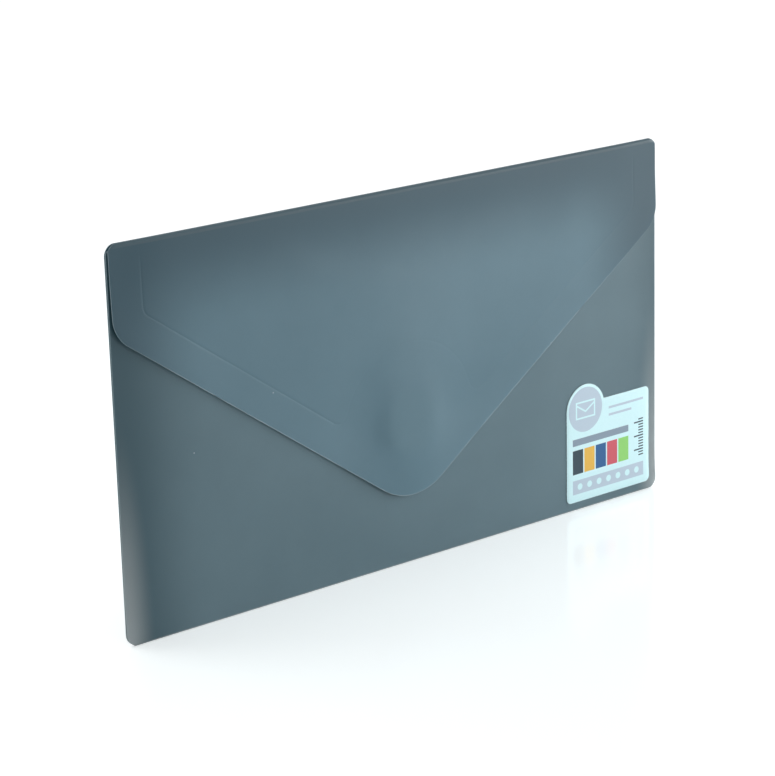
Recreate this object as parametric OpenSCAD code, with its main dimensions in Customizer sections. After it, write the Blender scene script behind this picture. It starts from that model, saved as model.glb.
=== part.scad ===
// Slim plastic document envelope with a pointed flap and a round hook-and-loop closure.
// It stands on its bottom fold: +Z is up, +X is to the right and the flap is on the -Y side.

/* [Envelope] */
// Width of the closed envelope
envelope_w = 225; // [190:1:340]
// Height of the closed envelope
envelope_h = 125; // [105:1:240]
// Radius of the four outer corners
corner_r = 4; // [2:0.5:10]

/* [Sheet] */
// Thickness of the plastic sheet
sheet_t = 0.3; // [0.2:0.05:0.6]
// Clear depth between the two panels of the pocket
pocket_depth = 0.8; // [0.4:0.1:4]

/* [Pocket] */
// Width of each welded side seam
weld_w = 3; // [1.5:0.5:6]
// Plain sheet left outside each side seam
weld_margin = 0.5; // [0.2:0.1:2]
// Gap between the mouth of the pocket and the crease above it
mouth_gap = 0.6; // [0.3:0.1:4]
// Width of the thumb notch at the mouth
notch_w = 113; // [60:1:150]
// Depth of the thumb notch
notch_d = 26; // [10:1:40]
// Radius of the eased corners at both ends of the notch
notch_ease_r = 6; // [1:0.5:12]

/* [Flap] */
// Gap from each side of the flap to the side of the envelope
flap_inset = 1; // [0.5:0.25:4]
// Gap between the flap and the front panel, just below the crease
flap_gap = 0.4; // [0.3:0.1:1.5]
// Straight sheet on each side of the bend of the crease
crease_leg = 0.4; // [0.3:0.1:2]
// Clearance between the edge of the crease and the flap that swings on it
crease_seam = 0.02; // [0.01:0.01:0.1]
// Drop from the top edge to the corner between the side and the slope of the flap
shoulder_drop = 28; // [20:1:45]
// Radius of the shoulders of the flap
shoulder_r = 10.5; // [3:0.5:20]
// Height of the tip of the flap above the bottom edge
tip_rise = 23.5; // [10:0.5:45]
// Radius of the tip of the flap
tip_r = 21.5; // [12:0.5:40]

/* [Pressed line] */
// Distance of the pressed line from the edge of the flap
line_inset = 10.5; // [6:0.5:16]
// Width of the pressed line
line_w = 0.8; // [0.4:0.1:1.6]
// Depth of the pressed line
line_depth = 0.1; // [0.05:0.01:0.15]
// Outer radius of the corners of the pressed line
line_corner_r = 4; // [2:0.5:8]
// Plain sheet between the crease and the ends of the pressed line
line_start = 4; // [2:0.5:12]
// Radius of the plain lobe that the pressed line leaves round the closure
lobe_r = 26.5; // [20:0.5:34]

/* [Closure] */
// Diameter of the hook and loop coins
coin_d = 20; // [12:1:24]
// Thickness of each coin
coin_t = 0.6; // [0.4:0.1:1.5]
// Width of the eased rim of each coin
coin_rim = 0.25; // [0.1:0.05:0.4]
// Thickness of each film of adhesive
adhesive_t = 0.1; // [0.05:0.01:0.2]
// Height of the middle of the closure above the tip of the flap
closure_rise = 24.5; // [18:0.5:40]
// Clearance between the hook and loop faces where they are closest
coin_gap = 0.12; // [0.1:0.02:0.6]

/* [Label] */
// Width of the label
label_w = 39.7; // [25:0.1:60]
// Height of the label without its lobe
label_h = 34.7; // [20:0.1:50]
// Radius of the corners of the label
label_corner_r = 2; // [1:0.5:5]
// Diameter of the round lobe of the label
label_lobe_d = 17.8; // [12:0.2:24]
// Height of the lobe above the upper edge of the label
label_lobe_rise = 6.7; // [3:0.1:9]
// Gap from the label to the right side of the envelope
label_side_gap = 3.5; // [1:0.1:20]
// Gap from the label to the bottom edge of the envelope
label_bottom_gap = 3.1; // [1:0.1:20]
// Thickness of the label
label_t = 0.1; // [0.06:0.01:0.2]

/* [Hidden] */
$fn = 96;
sheet_grey = [0.36, 0.43, 0.47];
weld_grey = [0.30, 0.36, 0.40];
coin_grey = [0.16, 0.17, 0.18];
adhesive_clear = [0.85, 0.86, 0.82];
label_white = [0.93, 0.97, 0.98];

// A cut that runs a little past the face it opens
past = 0.05;
// Most that a chord of a round outline may depart from its arc
arc_depart = 0.01;

half_w = envelope_w / 2;
fold_r = sheet_t + pocket_depth / 2;
body_t = 2 * fold_r;
crease_r = (body_t + flap_gap + sheet_t) / 2;
crease_in_r = crease_r - sheet_t;
crease_z = envelope_h - crease_r;
leg_z = crease_z - crease_leg;
mouth_z = leg_z - mouth_gap;

// Outline of the flap: each slope runs from its shoulder corner to the circle of the tip
flap_half_w = half_w - flap_inset;
shoulder = [flap_half_w, envelope_h - shoulder_drop];
tip_centre = [0, tip_rise + tip_r];
tip_to_shoulder = shoulder - tip_centre;
tip_turn = acos(tip_r / norm(tip_to_shoulder));
slope_out = turned(unit(tip_to_shoulder), -tip_turn);
slope_dir = unit(tip_centre + tip_r * slope_out - shoulder);
apex = on_axis(shoulder, slope_dir);

// The closure holds the flap off the front panel, so the flap leans out from the crease
closure_z = tip_rise + closure_rise;
coin_r = coin_d / 2;
stack_t = adhesive_t + coin_t;
rim_reach = crease_z - closure_z - coin_r;
rim_out = crease_in_r - stack_t;
rim_need = body_t - crease_r + stack_t + coin_gap;
flap_lean = asin(rim_need / norm([rim_reach, rim_out])) - atan2(rim_out, rim_reach);

// The whole depth is centred on the origin, from the back panel to the tip of the flap
tip_reach = crease_z - tip_rise;
total_t = crease_r + crease_r * cos(flap_lean) + tip_reach * sin(flap_lean);
back_y = total_t / 2;
pocket_y = back_y - sheet_t;
front_y = pocket_y - pocket_depth;
front_face_y = back_y - body_t;
crease_y = back_y - crease_r;
flap_y = crease_y - crease_in_r;

function unit(v) = v / norm(v);
function turned(v, a) = [v.x * cos(a) - v.y * sin(a), v.x * sin(a) + v.y * cos(a)];
function bearing(v) = atan2(v.y, v.x);
function on_side(p, side) = [side * p.x, p.y];
// Where the line through p along u crosses the middle of the envelope
function on_axis(p, u) = p - p.x / u.x * u;
// Right half of an outline, which ends at the middle, and then its left half
function both_halves(right) =
    [each right, for (i = [len(right) - 1 : -1 : 0]) on_side(right[i], -1)];

// Points of an arc of radius r round c, from bearing a to bearing b
function arc(c, r, a, b) =
    let (step = 2 * acos(1 - arc_depart / r), n = max(2, ceil(abs(b - a) / step)))
    [for (i = [0 : n]) c + r * turned([1, 0], a + (b - a) * i / n)];
// The same arc, the short way round
function short_arc(c, r, a, b) = arc(c, r, a, b - 360 * round((b - a) / 360));
// Points that round the corner at p, between the points before and after it, by radius r
function rounded_corner(before, p, after, r) =
    let (u = unit(before - p), v = unit(after - p), half = acos(u * v) / 2)
    let (c = p + r / sin(half) * unit(u + v), cut = r / tan(half))
    short_arc(c, r, bearing(p + cut * u - c), bearing(p + cut * v - c));

// First meeting, along direction u from p, with the circle of radius r round c
function first_meeting(p, u, c, r) =
    let (b = (p - c) * u)
    p - (b + sqrt(b * b - (p - c) * (p - c) + r * r)) * u;
// Points from the line through p along u, round an eased corner, and along the circle of radius r
// round c as far as the bearing last
function eased_into_circle(p, u, c, r, ease, last) =
    let (n = turned(u, -90), m = first_meeting(p + ease * n, u, c, r + ease))
    [each short_arc(m, ease, bearing(-n), bearing(c - m)), each short_arc(c, r, bearing(m - c), last)];

// Sheet outlined in X and Z, as thick as t, with its rear face at y
module upright(y, t) {
    translate([0, y, 0])
        rotate([90, 0, 0])
            linear_extrude(t)
                children();
}

// What is carried by the flap, leaned out about the crease
module leaned() {
    translate([0, crease_y, crease_z])
        rotate([-flap_lean, 0, 0])
            translate([0, -crease_y, -crease_z])
                children();
}

// Right side of the envelope's outline between two heights, with its rounded corners
function right_side(z0, z1) =
    let (x = half_w - corner_r, low = corner_r, high = envelope_h - corner_r)
    [each z0 < low ? arc([x, low], corner_r, asin(z0 / corner_r - 1), 0) : [[half_w, z0]],
        each z1 > high ? arc([x, high], corner_r, 0, asin((z1 - high) / corner_r)) : [[half_w, z1]]];

// The part of the envelope's outline between two heights
module outline_between(z0, z1) {
    polygon(both_halves(right_side(z0, z1)));
}

// Strip of sheet bent to a profile in Y and Z, and cut to the corners of the envelope
module bent_strip(profile) {
    intersection() {
        translate([-half_w - past, 0, 0])
            rotate([90, 0, 90])
                linear_extrude(envelope_w + 2 * past)
                    polygon(profile);
        upright(2 * total_t, 4 * total_t)
            outline_between(0, envelope_h);
    }
}

// Outline of the front panel: an arc across the mouth is its thumb notch
module mouth_outline() {
    notch_r = (notch_w * notch_w / 4 + notch_d * notch_d) / (2 * notch_d);
    notch_centre = [0, mouth_z + notch_r - notch_d];
    polygon(both_halves([
        each right_side(fold_r, mouth_z),
        for (p = eased_into_circle([-half_w, mouth_z], [1, 0], notch_centre, notch_r, notch_ease_r, -90))
            on_side(p, -1)]));
}

// Outline of the flap, down from the crease
module flap_outline() {
    top = [flap_half_w, leg_z - crease_seam];
    intersection() {
        polygon(both_halves([
            top,
            each rounded_corner(top, shoulder, apex, shoulder_r),
            each arc(tip_centre, tip_r, bearing(slope_out), -90)]));
        outline_between(0, envelope_h);
    }
}

// Field of the flap that the pressed line surrounds, grown inwards by more than the line's inset
module pressed_field(more) {
    inset = line_inset + more;
    ease = line_corner_r - more;
    top = [flap_half_w - inset, leg_z - line_start + more];
    start = shoulder - inset * slope_out;
    corner = start + (top.x - start.x) / slope_dir.x * slope_dir;
    polygon(both_halves([
        top,
        each rounded_corner(top, corner, on_axis(start, slope_dir), ease),
        each eased_into_circle(start, slope_dir, [0, closure_z], lobe_r + more, ease, 90)]));
}

// The pressed line itself, open at the top
module pressed_line() {
    difference() {
        pressed_field(0);
        pressed_field(line_w);
    }
}

// Round coin of the closure with an eased rim on its front, from the rear face at y towards -Y
module coin(y) {
    translate([0, y, closure_z])
        rotate([90, 0, 0])
            rotate_extrude()
                polygon([[0, 0], [coin_r, 0], [coin_r, coin_t - coin_rim],
                    [coin_r - coin_rim, coin_t], [0, coin_t]]);
}

// Round film of adhesive with its rear face at y
module adhesive_disc(y) {
    translate([0, y, closure_z])
        rotate([90, 0, 0])
            cylinder(h = adhesive_t, r = coin_r);
}

// Label outline: a rounded rectangle with a round lobe at its upper left
module label_outline() {
    right = half_w - label_side_gap;
    left = right - label_w;
    low = label_bottom_gap;
    high = low + label_h;
    lobe_r = label_lobe_d / 2;
    lobe = [left + lobe_r, high + label_lobe_rise - lobe_r];
    polygon([
        each rounded_corner([left, high], [left, low], [right, low], label_corner_r),
        each rounded_corner([left, low], [right, low], [right, high], label_corner_r),
        each rounded_corner([right, low], [right, high], [left, high], label_corner_r),
        each arc(lobe, lobe_r, asin(1 - label_lobe_rise / lobe_r), 180)]);
}

module back_panel() {
    color(sheet_grey)
        upright(back_y, sheet_t)
            outline_between(fold_r, leg_z);
}

module front_panel() {
    color(sheet_grey)
        upright(front_y, sheet_t)
            mouth_outline();
}

module bottom_fold() {
    middle = [back_y - fold_r, fold_r];
    color(sheet_grey)
        bent_strip([each arc(middle, fold_r, 0, -180), each arc(middle, fold_r - sheet_t, -180, 0)]);
}

// Welded seam between the two panels, on the right for side 1 and on the left for side -1
module side_weld(side) {
    outer = half_w - weld_margin;
    color(weld_grey)
        upright(pocket_y, pocket_depth)
            intersection() {
                outline_between(fold_r, mouth_z);
                translate([side * (outer - weld_w / 2), envelope_h / 2])
                    square([weld_w, envelope_h], center = true);
            }
}

module left_weld() {
    side_weld(-1);
}

module right_weld() {
    side_weld(1);
}

module flap_crease() {
    middle = [crease_y, crease_z];
    end = 180 - flap_lean;
    color(sheet_grey)
        bent_strip([
            [back_y, leg_z],
            each arc(middle, crease_r, 0, end),
            middle + turned([-crease_r, -crease_leg], -flap_lean),
            middle + turned([-crease_in_r, -crease_leg], -flap_lean),
            each arc(middle, crease_in_r, end, 0),
            [pocket_y, leg_z]]);
}

module flap() {
    color(sheet_grey)
        leaned()
            difference() {
                union() {
                    upright(flap_y, sheet_t)
                        flap_outline();
                    upright(flap_y + line_depth, sheet_t)
                        pressed_line();
                }
                upright(flap_y - sheet_t + line_depth, line_depth + past)
                    pressed_line();
            }
}

module loop_adhesive() {
    color(adhesive_clear)
        adhesive_disc(front_face_y);
}

module loop_coin() {
    color(coin_grey)
        coin(front_face_y - adhesive_t);
}

module hook_adhesive() {
    color(adhesive_clear)
        leaned()
            adhesive_disc(flap_y + adhesive_t);
}

module hook_coin() {
    color(coin_grey)
        leaned()
            translate([0, 2 * (flap_y + adhesive_t), 0])
                mirror([0, 1, 0])
                    coin(flap_y + adhesive_t);
}

module label_adhesive() {
    color(adhesive_clear)
        upright(front_face_y, adhesive_t)
            label_outline();
}

module label() {
    color(label_white)
        upright(front_face_y - adhesive_t, label_t)
            label_outline();
}

back_panel();
front_panel();
bottom_fold();
left_weld();
right_weld();
flap_crease();
flap();
loop_adhesive();
loop_coin();
hook_coin();
hook_adhesive();
label_adhesive();
label();
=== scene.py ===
# %% [markdown]
# # A slim plastic envelope with a pointed flap
# The object is one sheet of smoke grey polypropylene, 0.3 mm thick, that is folded at the bottom, welded
# at both sides and creased at the top. A pointed flap closes over the front and is held by a round
# hook-and-loop closure under its tip. A white paper label sits at the lower right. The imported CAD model
# is the frame: it says where each piece is and how the flap swings. Blender gives the sheet its slack,
# its satin surface and its light.

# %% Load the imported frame
import math
import bpy
from mathutils import Matrix, Vector, kdtree, noise


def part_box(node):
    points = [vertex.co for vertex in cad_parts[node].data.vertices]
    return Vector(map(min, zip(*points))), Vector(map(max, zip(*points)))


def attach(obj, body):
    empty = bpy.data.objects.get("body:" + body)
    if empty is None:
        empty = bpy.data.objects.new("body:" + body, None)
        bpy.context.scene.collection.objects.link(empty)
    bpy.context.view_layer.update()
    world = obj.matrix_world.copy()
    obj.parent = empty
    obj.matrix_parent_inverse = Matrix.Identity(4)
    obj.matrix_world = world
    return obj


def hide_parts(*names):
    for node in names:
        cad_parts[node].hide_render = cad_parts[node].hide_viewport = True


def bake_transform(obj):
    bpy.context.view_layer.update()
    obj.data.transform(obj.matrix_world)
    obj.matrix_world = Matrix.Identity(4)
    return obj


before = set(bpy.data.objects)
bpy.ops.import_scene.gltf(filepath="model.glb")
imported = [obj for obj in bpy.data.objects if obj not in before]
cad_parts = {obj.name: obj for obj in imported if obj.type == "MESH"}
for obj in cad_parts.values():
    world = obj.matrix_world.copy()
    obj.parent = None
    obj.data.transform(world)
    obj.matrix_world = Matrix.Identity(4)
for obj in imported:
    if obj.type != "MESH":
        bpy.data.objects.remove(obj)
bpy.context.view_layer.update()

# %% [markdown]
# ## Sizes
# A sheet is thin, so it is easier to think in millimetres and to change to metres when a mesh is made.
# What the CAD nodes' boxes can tell is read from them, so that the visible pieces sit where the solids
# are. The flap's outline needs a few more sizes, the same as the CAD model's. Only its width differs: the
# visible flap has half a millimetre to spare at each side, so that the gap beside it is as narrow as on
# the real envelope.

# %% Sizes in millimetres, read from the frame
MM = 0.001


def node_box(name):
    """Lowest and highest corner of a CAD node, in millimetres."""
    return [Vector(corner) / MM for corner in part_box(name)]


back_low, back_high = node_box("back_panel")
front_low, front_high = node_box("front_panel")
loop_low, loop_high = node_box("loop_coin")
label_low, label_high = node_box("label")

half_w = back_high.x
height = node_box("flap_crease")[1].z
back_y = back_high.y
sheet_t = back_high.y - back_low.y
fold_r = back_low.z
leg_z = back_high.z
mouth_z = front_high.z
front_y = front_low.y
coin_r = loop_high.x
closure_z = (loop_low.z + loop_high.z) / 2
print(f"envelope {2 * half_w:.1f} x {height:.1f} mm, sheet {sheet_t:.2f} mm, "
      f"closure at z {closure_z:.1f} mm")

# %% Sizes of the crease and the flap
corner_r = 4.0
crease_leg = 0.4
crease_z = leg_z + crease_leg
crease_r = height - crease_z
crease_y = back_y - crease_r
flap_y = crease_y - crease_r + sheet_t / 2
flap_lean = math.radians(0.973082)
flap_spare = 0.5
flap_half_w = node_box("flap")[1].x + flap_spare
joint_gap = 0.02
flap_top = leg_z - joint_gap
shoulder_drop, shoulder_r = 28.0, 10.5
shoulder = Vector((flap_half_w, height - shoulder_drop))
tip_z, tip_r = 23.5, 21.5
tip_centre = Vector((0.0, tip_z + tip_r))
line_inset, line_w, line_corner_r, lobe_r = 10.5, 0.8, 4.0, 26.5
print(f"the crease bends round y {crease_y:.3f}, z {crease_z:.3f} mm with a radius of {crease_r:.2f} mm")

# %% [markdown]
# ## Drawing outlines
# The CAD model draws each sheet as one outline of straight lines and arcs. The same few drawing rules are
# written here again, so that the visible sheets have the CAD outlines. All of them work in X and Z, seen
# from the front. A traced curve would be quicker, but it would no longer follow when a size in the frame
# changes.

# %% Rules for outlines in X and Z
chord_gap = 0.004
same_point = 1e-4


def turned(v, degrees):
    """A direction turned counterclockwise."""
    return Matrix.Rotation(math.radians(degrees), 2) @ v


def arc(centre, r, a, b):
    """Points of an arc from bearing a to bearing b whose chords stay within chord_gap of it."""
    step = 2 * math.degrees(math.acos(1 - chord_gap / r))
    n = max(2, math.ceil(abs(b - a) / step))
    return [centre + r * turned(Vector((1, 0)), a + (b - a) * i / n) for i in range(n + 1)]


def mirrored(points):
    """The same line on the other side of the middle, run backwards."""
    return [Vector((-p.x, p.y)) for p in reversed(points)]


def joined(*lines):
    """Lines put end to end, without the points that they share."""
    points = []
    for p in (q for line in lines for q in line):
        if not points or (p - points[-1]).length > same_point:
            points.append(p)
    return points[:-1] if (points[0] - points[-1]).length < same_point else points


def right_side(z0, z1):
    """The envelope's right side from height z0 up to z1, with its rounded corners."""
    x, low, high = half_w - corner_r, corner_r, height - corner_r
    start, end = [Vector((half_w, z0))], [Vector((half_w, z1))]
    if z0 < low:
        start = arc(Vector((x, low)), corner_r, math.degrees(math.asin(z0 / corner_r - 1)), 0)
    if z1 > high:
        end = arc(Vector((x, high)), corner_r, 0, math.degrees(math.asin((z1 - high) / corner_r)))
    return start + end


print(f"the envelope's right side has {len(right_side(fold_r, leg_z))} points")

# %% [markdown]
# ## Making a sheet by hand
# Every flat piece starts as a filled circle whose corners are laid on the outline. One large face can't
# bend, so the sheet is bisected into cells, moved a little out of flat, given its thickness with Solidify
# and finished with a small bevel on its die-cut edges. A plain grid could be trimmed instead, but then the
# outline would have to be cut from it, and the arcs would lose their smooth run. Cuts and bevels leave
# slivers where they meet, so vertices that almost touch are merged after both.

# %% Helpers that select and edit one piece
def start_piece():
    """Leave edit mode and deselect everything."""
    if bpy.context.mode != "OBJECT":
        bpy.ops.object.mode_set(mode="OBJECT")
    bpy.ops.object.select_all(action="DESELECT")


def select_only(obj):
    """Make obj the one selected, active object."""
    start_piece()
    obj.select_set(True)
    bpy.context.view_layer.objects.active = obj


def name_piece(name):
    """Name the object that was just added."""
    obj = bpy.context.object
    obj.name = obj.data.name = name
    return obj


def settle(obj, scale=(1, 1, 1)):
    """Stretch a new primitive and put its place, turn and size into its mesh."""
    obj.scale = scale
    bpy.ops.object.transform_apply(location=True, rotation=True, scale=True)


def edit_all(obj):
    """Open obj in edit mode with everything selected."""
    select_only(obj)
    bpy.ops.object.mode_set(mode="EDIT")
    bpy.ops.mesh.select_mode(type="VERT")
    bpy.ops.mesh.select_all(action="SELECT")


# %% Helpers that finish one piece
def wear(obj, *finishes):
    """Give a piece its materials, in the order of its slots."""
    obj.data.materials.clear()
    for finish in finishes:
        obj.data.materials.append(finish)


def apply_modifier(obj, kind, **settings):
    """Add a modifier and apply it."""
    select_only(obj)
    m = obj.modifiers.new(kind.lower(), kind)
    for key, value in settings.items():
        setattr(m, key, value)
    bpy.ops.object.modifier_apply(modifier=m.name)


def smooth(obj, degrees=35):
    """Shade the piece smooth apart from its sharp edges."""
    select_only(obj)
    bpy.ops.object.shade_smooth_by_angle(angle=math.radians(degrees))
    obj.select_set(False)
    print(f"{obj.name}: {len(obj.data.polygons)} faces")


# %% Helpers that cut and merge
merge_gap, sliver_gap, bevel_gap = 0.001, 0.03, 0.0005
cut_edge_angle = math.radians(50)
rim_w, near_end = 0.2, 0.01


def slice_open(place, normal, keep_both=True):
    """Cut the open mesh by a plane in millimetres; the outer side goes if it isn't kept."""
    bpy.ops.mesh.select_all(action="SELECT")
    bpy.ops.mesh.bisect(plane_co=[c * MM for c in place], plane_no=normal, threshold=1e-8,
                        clear_outer=not keep_both)


def merge_open(gap):
    """Merge the vertices of the open mesh that lie within gap millimetres of each other."""
    bpy.ops.mesh.select_all(action="SELECT")
    bpy.ops.mesh.remove_doubles(threshold=gap * MM)


def steps(low, high, size):
    """Evenly spaced cuts between two values, about size apart."""
    n = max(1, round((high - low) / size))
    return [low + (high - low) * i / n for i in range(1, n)]


# %% A flat sheet
def flat_sheet(name, outlines, cell, finishes, rim=0.0):
    """A flat sheet in X and Z that fills the outlines, in cells of about cell mm, with a narrow rim in the
    second finish, a painted edge highlight.
    """
    faces = []
    for outline in outlines:
        start_piece()
        bpy.ops.mesh.primitive_circle_add(vertices=len(outline), radius=MM, fill_type="NGON")
        for v, p in zip(bpy.context.object.data.vertices, outline):
            v.co = (p.x * MM, 0, p.y * MM)
        faces.append(bpy.context.object)
    select_only(faces[0])
    for face in faces:
        face.select_set(True)
    if len(faces) > 1:
        bpy.ops.object.join()
    obj = name_piece(name)
    wear(obj, *finishes)
    edit_all(obj)
    merge_open(merge_gap)
    # The rim takes the second finish, a pale painted highlight along the cut edge.
    if rim:
        bpy.ops.mesh.inset(thickness=rim * MM)
        bpy.ops.mesh.select_all(action="INVERT")
        bpy.context.object.active_material_index = 1
        bpy.ops.object.material_slot_assign()
    xs = [p.x for outline in outlines for p in outline]
    zs = [p.y for outline in outlines for p in outline]
    for x in steps(min(xs), max(xs), cell):
        slice_open((x, 0, 0), (1, 0, 0))
    for z in steps(min(zs), max(zs), cell):
        slice_open((0, 0, z), (0, 0, 1))
    merge_open(sliver_gap)
    bpy.ops.object.mode_set(mode="OBJECT")
    return obj


# %% A sheet given its shape and its thickness
def shape(obj, rule):
    """Put each vertex where the rule says, in millimetres."""
    for v in obj.data.vertices:
        v.co = Vector(rule(v.co / MM)) * MM


def thicken(obj, t, edge=0.1, plain_end=None):
    """Give a sheet its thickness and bevel its cut edges, apart from a plain end that meets a neighbour."""
    # The sides and the bevels take the second finish, whose pale tint is a painted highlight on the cut
    # edges.
    apply_modifier(obj, "SOLIDIFY", thickness=t * MM, offset=0, use_even_offset=True, material_offset_rim=1)
    edit_all(obj)
    bpy.ops.mesh.select_mode(type="EDGE")
    bpy.ops.mesh.select_all(action="DESELECT")
    bpy.ops.mesh.edges_select_sharp(sharpness=cut_edge_angle)
    if plain_end:
        bpy.ops.object.mode_set(mode="OBJECT")
        for e in obj.data.edges:
            ends = [obj.data.vertices[i].co / MM for i in e.vertices]
            if e.select and all(plain_end(p) for p in ends):
                e.select = False
        bpy.ops.object.mode_set(mode="EDIT")
    bpy.ops.mesh.bevel(offset=edge * MM, segments=2, affect="EDGES", material=1)
    merge_open(bevel_gap)
    bpy.ops.object.mode_set(mode="OBJECT")
    for f in obj.data.polygons:
        if plain_end and plain_end(f.center / MM):
            f.material_index = 0


# %% [markdown]
# ## How slack the sheets lie
# A real pocket isn't two flat plates. The welds draw the panels together at both sides, the empty pocket
# swells a little in between, a thin sheet is never quite even, and the bend of the crease is pressed
# flatter at its ends. These rules say how far each sheet leaves its flat CAD place. A cloth simulation
# could find such forms too, but a rule gives the same result each time. The rules stay within about half
# a millimetre, so nothing changes its size.

# %% Rules for the slack of the pocket
weld_pull, weld_pull_x, weld_pull_w = 0.5, 96.5, 15.5
swell_d, swell_x, swell_w, swell_z, swell_h = 0.24, 66, 30, 38, 26
panel_uneven, panel_wave, panel_fold_h = 0.02, 38, 12
back_slack, back_uneven, back_wave, back_fold_h, back_crease_h = 0.06, 0.05, 46, 10, 8
pinch_share, pinch_x, pinch_w = 0.33, 92, 20.5


def ease(t):
    """Smooth step from 0 to 1."""
    t = min(1.0, max(0.0, t))
    return t * t * (3 - 2 * t)


def waver(x, z, wave, seed):
    """A gentle unevenness, about one wave long, between -1 and 1."""
    return 2 * noise.noise(Vector((x / wave, z / wave, seed)))


def panel_push(x, z):
    """How far the front panel lies behind its flat place, towards +Y."""
    drawn_in = weld_pull * min(1.0, max(0.0, (abs(x) - weld_pull_x) / weld_pull_w)) ** 2
    swell = swell_d * math.exp(-((abs(x) - swell_x) / swell_w) ** 2 - ((z - swell_z) / swell_h) ** 2)
    uneven = panel_uneven * waver(x, z, panel_wave, seed=3.1)
    return ease((z - fold_r) / panel_fold_h) * (drawn_in - swell + uneven)


def back_push(x, z):
    """How far the back panel lies in front of its flat place, towards -Y."""
    inside = ease((z - fold_r) / back_fold_h) * ease((leg_z - z) / back_crease_h)
    return inside * (back_slack + back_uneven * waver(x, z, back_wave, seed=7.7))


def end_pinch(x):
    """How far the bend of the crease is pressed flat towards its two ends, as a share of its depth."""
    return pinch_share * ease((abs(x) - pinch_x) / pinch_w)


print(f"the front panel is drawn in by {panel_push(half_w, height / 2):.2f} mm at its sides")

# %% [markdown]
# ## The finish of the sheet
# Smoke grey polypropylene is a milky, tinted plastic with a satin skin: part of the light scatters at the
# surface, part goes through and is blurred, and a soft sheen lies on top. Layers behind the flap show
# through it faintly. Painting them on would be wrong as soon as the flap opens, so the shader has real
# rough transmission. Some light and shade is painted into the tint instead: painted shade darkens it along
# the welds and the crease, more on one side than the other, and a painted reflection of the white floor
# lies pale on the lower sides. The skin has a very fine grain, faint clouds in the tint, a few hairline
# rubs and specks of dust.

# %% Helpers for shader nodes
def put_in(tree, socket, value):
    """Link a socket to a value that is another socket, or set it."""
    if isinstance(value, bpy.types.NodeSocket):
        tree.links.new(value, socket)
    else:
        socket.default_value = value


def add_node(tree, kind, settings=None, **sockets):
    """A shader node with its settings, and its sockets set or linked."""
    node = tree.nodes.new(kind)
    for key, value in (settings or {}).items():
        setattr(node, key, value)
    for key, value in sockets.items():
        put_in(tree, node.inputs[key.replace("_", " ")], value)
    return node


def maths(tree, operation, *values):
    """Result of a Math node."""
    node = add_node(tree, "ShaderNodeMath", {"operation": operation})
    for socket, value in zip(node.inputs, values):
        put_in(tree, socket, value)
    return node.outputs[0]


def between(tree, value, low, high):
    """0 below low, 1 above high, smooth in between."""
    return add_node(tree, "ShaderNodeMapRange", {"interpolation_type": "SMOOTHSTEP"},
                    Value=value, From_Min=low, From_Max=high).outputs["Result"]


def mix_colours(tree, amount, a, b):
    """Colour a, and colour b where amount is 1."""
    node = add_node(tree, "ShaderNodeMix", {"data_type": "RGBA"})
    for name, value in (("Factor_Float", amount), ("A_Color", a), ("B_Color", b)):
        put_in(tree, next(s for s in node.inputs if s.identifier == name), value)
    return next(s for s in node.outputs if s.identifier == "Result_Color")


def clouds_of(tree, where, scale, detail, **sockets):
    """Noise of a scale per millimetre, from 0 to 1."""
    return add_node(tree, "ShaderNodeTexNoise", Vector=where, Scale=scale, Detail=detail,
                    **sockets).outputs["Fac"]


def roughen(tree, shader, bumps, strength, depth):
    """Turn a pattern into small bumps of the surface, with a depth in millimetres."""
    bump = add_node(tree, "ShaderNodeBump", Height=bumps, Strength=strength, Distance=depth * MM)
    tree.links.new(bump.outputs["Normal"], shader.inputs["Normal"])


# %% Helpers for finishes
def new_finish(name, **sockets):
    """A material with a Principled shader, its uniform values set on the shader itself."""
    finish = bpy.data.materials.new(name)
    finish.use_nodes = True
    shader = finish.node_tree.nodes["Principled BSDF"]
    for key, value in sockets.items():
        shader.inputs[key.replace("_", " ")].default_value = value
    return finish, finish.node_tree, shader


def place_mm(tree, scale=(1, 1, 1), turn=0.0):
    """Object coordinates in millimetres, stretched and turned about Y."""
    where = add_node(tree, "ShaderNodeTexCoord").outputs["Object"]
    per_mm = [s / MM for s in scale]
    return add_node(tree, "ShaderNodeMapping", Vector=where, Scale=per_mm,
                    Rotation=(0, turn, 0)).outputs["Vector"]


# %% Zones of the sheet's tint: painted shade, a painted floor reflection and dust
# Width, height and strength of the painted shade along the welds and the crease.
shade_w, shade_h, shade_share = 34, 33, 0.82
# Size, strength and tint of a painted reflection of the white floor on the lower sides and the fold.
reflect_w, reflect_h, reflect_share, reflect_tint = 10.5, 74.0, 0.66, (0.56, 0.6, 0.61, 1)
fold_reflect_z, fold_clear_z = 0.15, 0.8
dust_cells, dust_least, dust_r, dust_share = 0.075, 0.62, 0.018, 0.7
dust_tint = (0.8, 0.84, 0.86, 1)


def painted_shade_zone(tree, spot, shift):
    """Share of the painted shade along the crease and the welds, the right one moved outwards by shift, so
    the two sides are shaded unevenly.
    """
    middle = shift / 2
    aside = maths(tree, "ABSOLUTE", maths(tree, "SUBTRACT", spot.outputs["X"], middle))
    at_weld = between(tree, aside, half_w + middle - shade_w, half_w + middle)
    at_crease = between(tree, spot.outputs["Z"], height - shade_h, height)
    both = maths(tree, "MULTIPLY", at_weld, at_crease)
    either = maths(tree, "SUBTRACT", maths(tree, "ADD", at_weld, at_crease), both)
    return maths(tree, "MULTIPLY", either, shade_share)


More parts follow.
